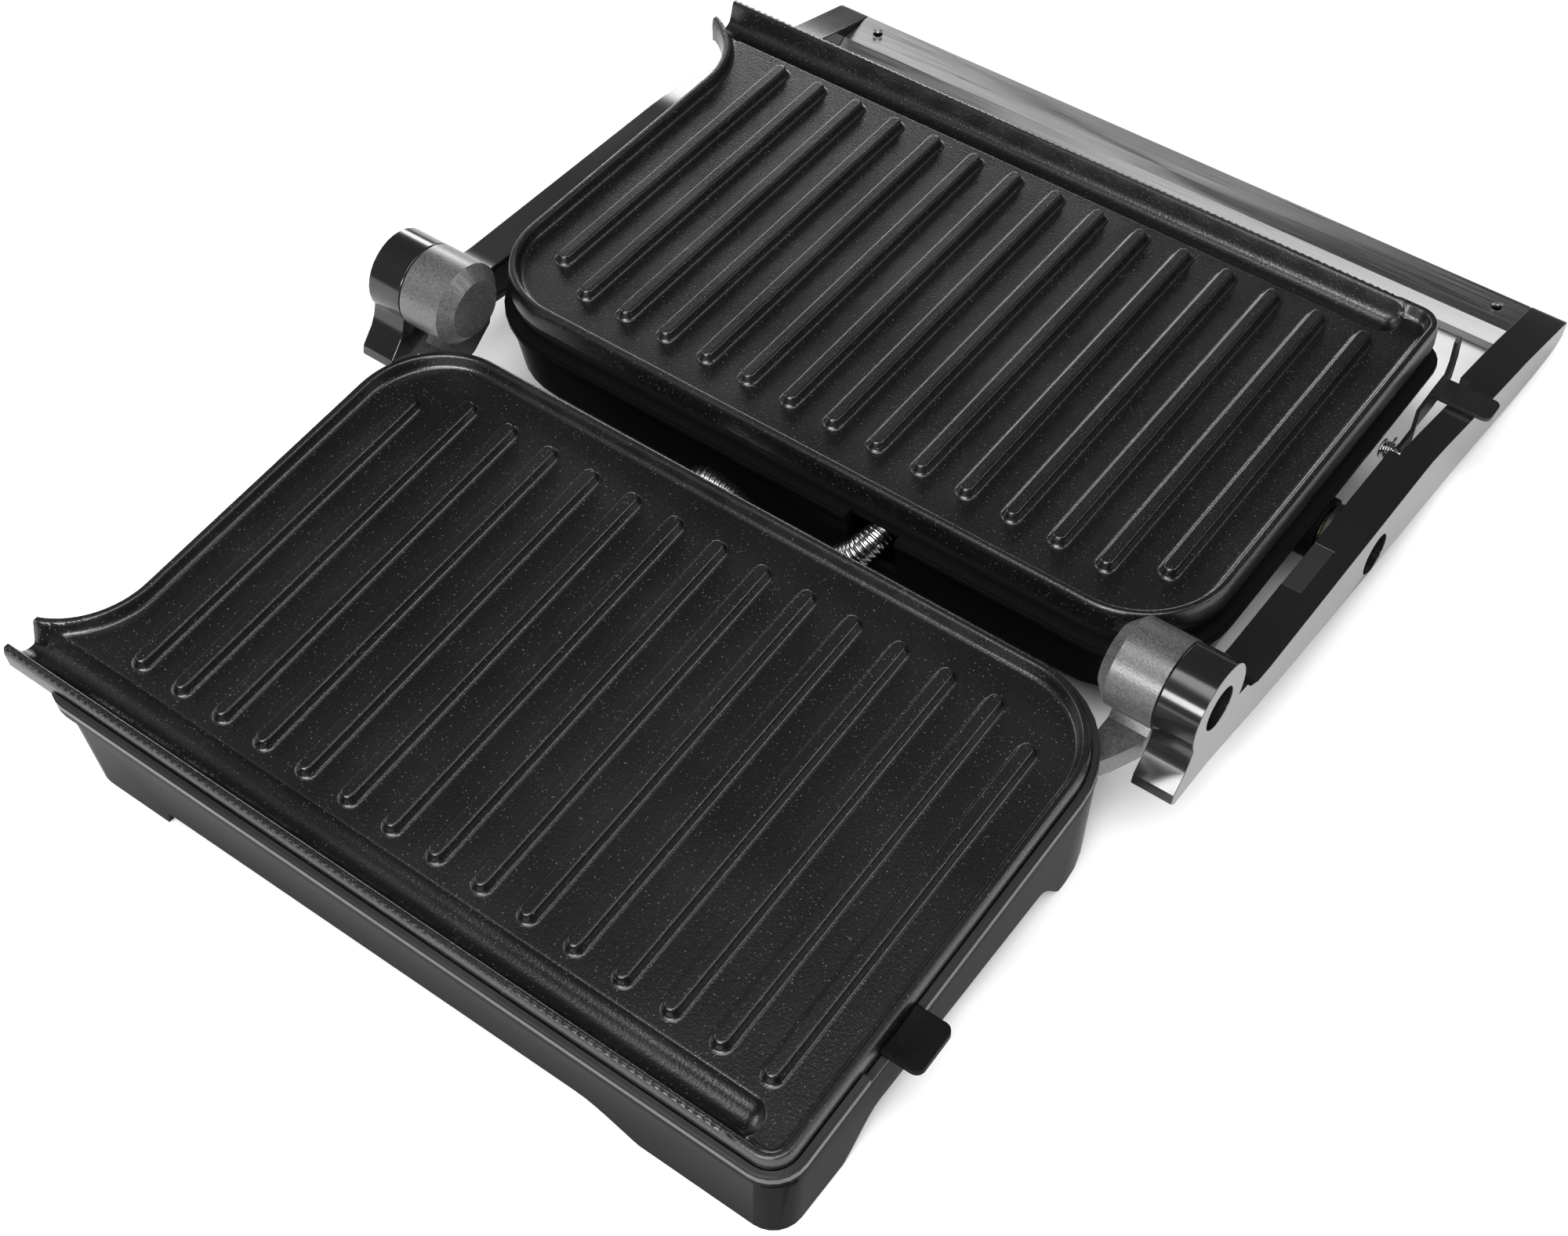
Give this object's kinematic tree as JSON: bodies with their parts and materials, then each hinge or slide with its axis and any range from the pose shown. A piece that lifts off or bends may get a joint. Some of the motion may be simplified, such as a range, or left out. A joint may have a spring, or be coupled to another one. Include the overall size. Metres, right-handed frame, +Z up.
{
  "type": "panini press",
  "caption": "Flat-opening contact grill: ridged base plate and floating ridged lid on a two-arm handle yoke, each plate with a drip channel and side spout.",
  "frame": {"origin": "under the middle of the opened press's box, on the surface that it stands on; X = 0 is midway between the two hinge knuckles", "axes": "+Z up; +Y from the base's front edge with its drip channel towards the hinge and the opened lid; +X to the user's right, along the hinge"},
  "size_m": [0.3415, 0.4712, 0.0746],
  "materials": {
    "housing_black": "gloss",
    "lip_satin": "satin",
    "plate_coating": "speckled non-stick coating, satin",
    "knuckle_cast": "grained cast, satin",
    "arm_black": "gloss",
    "handle_steel": "brushed",
    "grip_black": "satin",
    "lever_black": "semi-gloss",
    "label_black": "satin",
    "screw_steel": "plated",
    "pin_steel": "ground",
    "conduit_metal": "spiral wound",
    "sheet_metal": "pressed sheet",
    "element_steel": "heat tinted",
    "floor_metal": "satin",
    "rubber": "matte",
    "gland_nylon": "satin",
    "ceramic": "glazed ceramic",
    "bush_brass": "turned",
    "spring_steel": "drawn wire",
    "panel_steel": "brushed",
    "lamp_red": "clear moulded",
    "lamp_green": "clear moulded"
  },
  "bodies": {
    "base": {"base_housing": "housing_black", "base_lip": "lip_satin", "base_floor": "floor_metal", "base_plate": "plate_coating", "base_heater": "element_steel", "base_reflector": "sheet_metal", "base_thermostat": "ceramic", "thermal_fuse": "ceramic", "terminal_block": "ceramic", "cord_gland": "gland_nylon", "rubber_feet": "rubber", "floor_screws": "screw_steel", "hinge_bracket_right": "knuckle_cast", "hinge_bracket_left": "knuckle_cast", "hinge_pin_right": "pin_steel", "hinge_pin_left": "pin_steel", "bracket_screws": "screw_steel", "base_conduit_gland": "gland_nylon", "spiral_conduit": "conduit_metal"},
    "release_button": {"release_slider": "housing_black"},
    "yoke": {"arm_right": "arm_black", "arm_left": "arm_black", "arm_cover_right": "grip_black", "arm_cover_left": "grip_black", "arm_screws": "screw_steel", "pivot_pin_right": "grip_black", "pivot_pin_left": "grip_black", "handle_bar": "handle_steel", "handle_grip": "grip_black", "handle_screws": "screw_steel", "lever_pin": "pin_steel", "lever_spring": "spring_steel", "blank_label": "label_black"},
    "lever": {"lock_lever": "lever_black"},
    "lid": {"lid_frame": "housing_black", "lid_cover": "housing_black", "lid_panel": "panel_steel", "lid_plate": "plate_coating", "lid_heater": "element_steel", "lid_reflector": "sheet_metal", "lid_thermostat": "ceramic", "pivot_bush_right": "bush_brass", "pivot_bush_left": "bush_brass", "power_lamp": "lamp_red", "ready_lamp": "lamp_green", "lid_screws": "screw_steel", "lid_conduit_gland": "gland_nylon"}
  },
  "joints": [
    {"name": "lid_hinge", "type": "hinge", "parent": "base", "child": "yoke", "pos_m": [0, -0.0374, 0.059], "axis": [1, 0, 0], "range_deg": [0, 184], "deforming": ["spiral_conduit"]},
    {"name": "lid_float", "type": "hinge", "parent": "yoke", "child": "lid", "pos_m": [0, 0.0751, 0.025], "axis": [1, 0, 0], "range_deg": [-2, 2.5]},
    {"name": "lever_turn", "type": "hinge", "parent": "yoke", "child": "lever", "pos_m": [0.155, 0.1176, 0.0285], "axis": [1, 0, 0], "range_deg": [0, 10], "stiffness_Nm_per_rad": 0.05},
    {"name": "release_slide", "type": "slide", "parent": "base", "child": "release_button", "axis": [0, -0.9976, -0.0698], "range_m": [0, 0.008], "stiffness_N_per_m": 250}
  ]
}
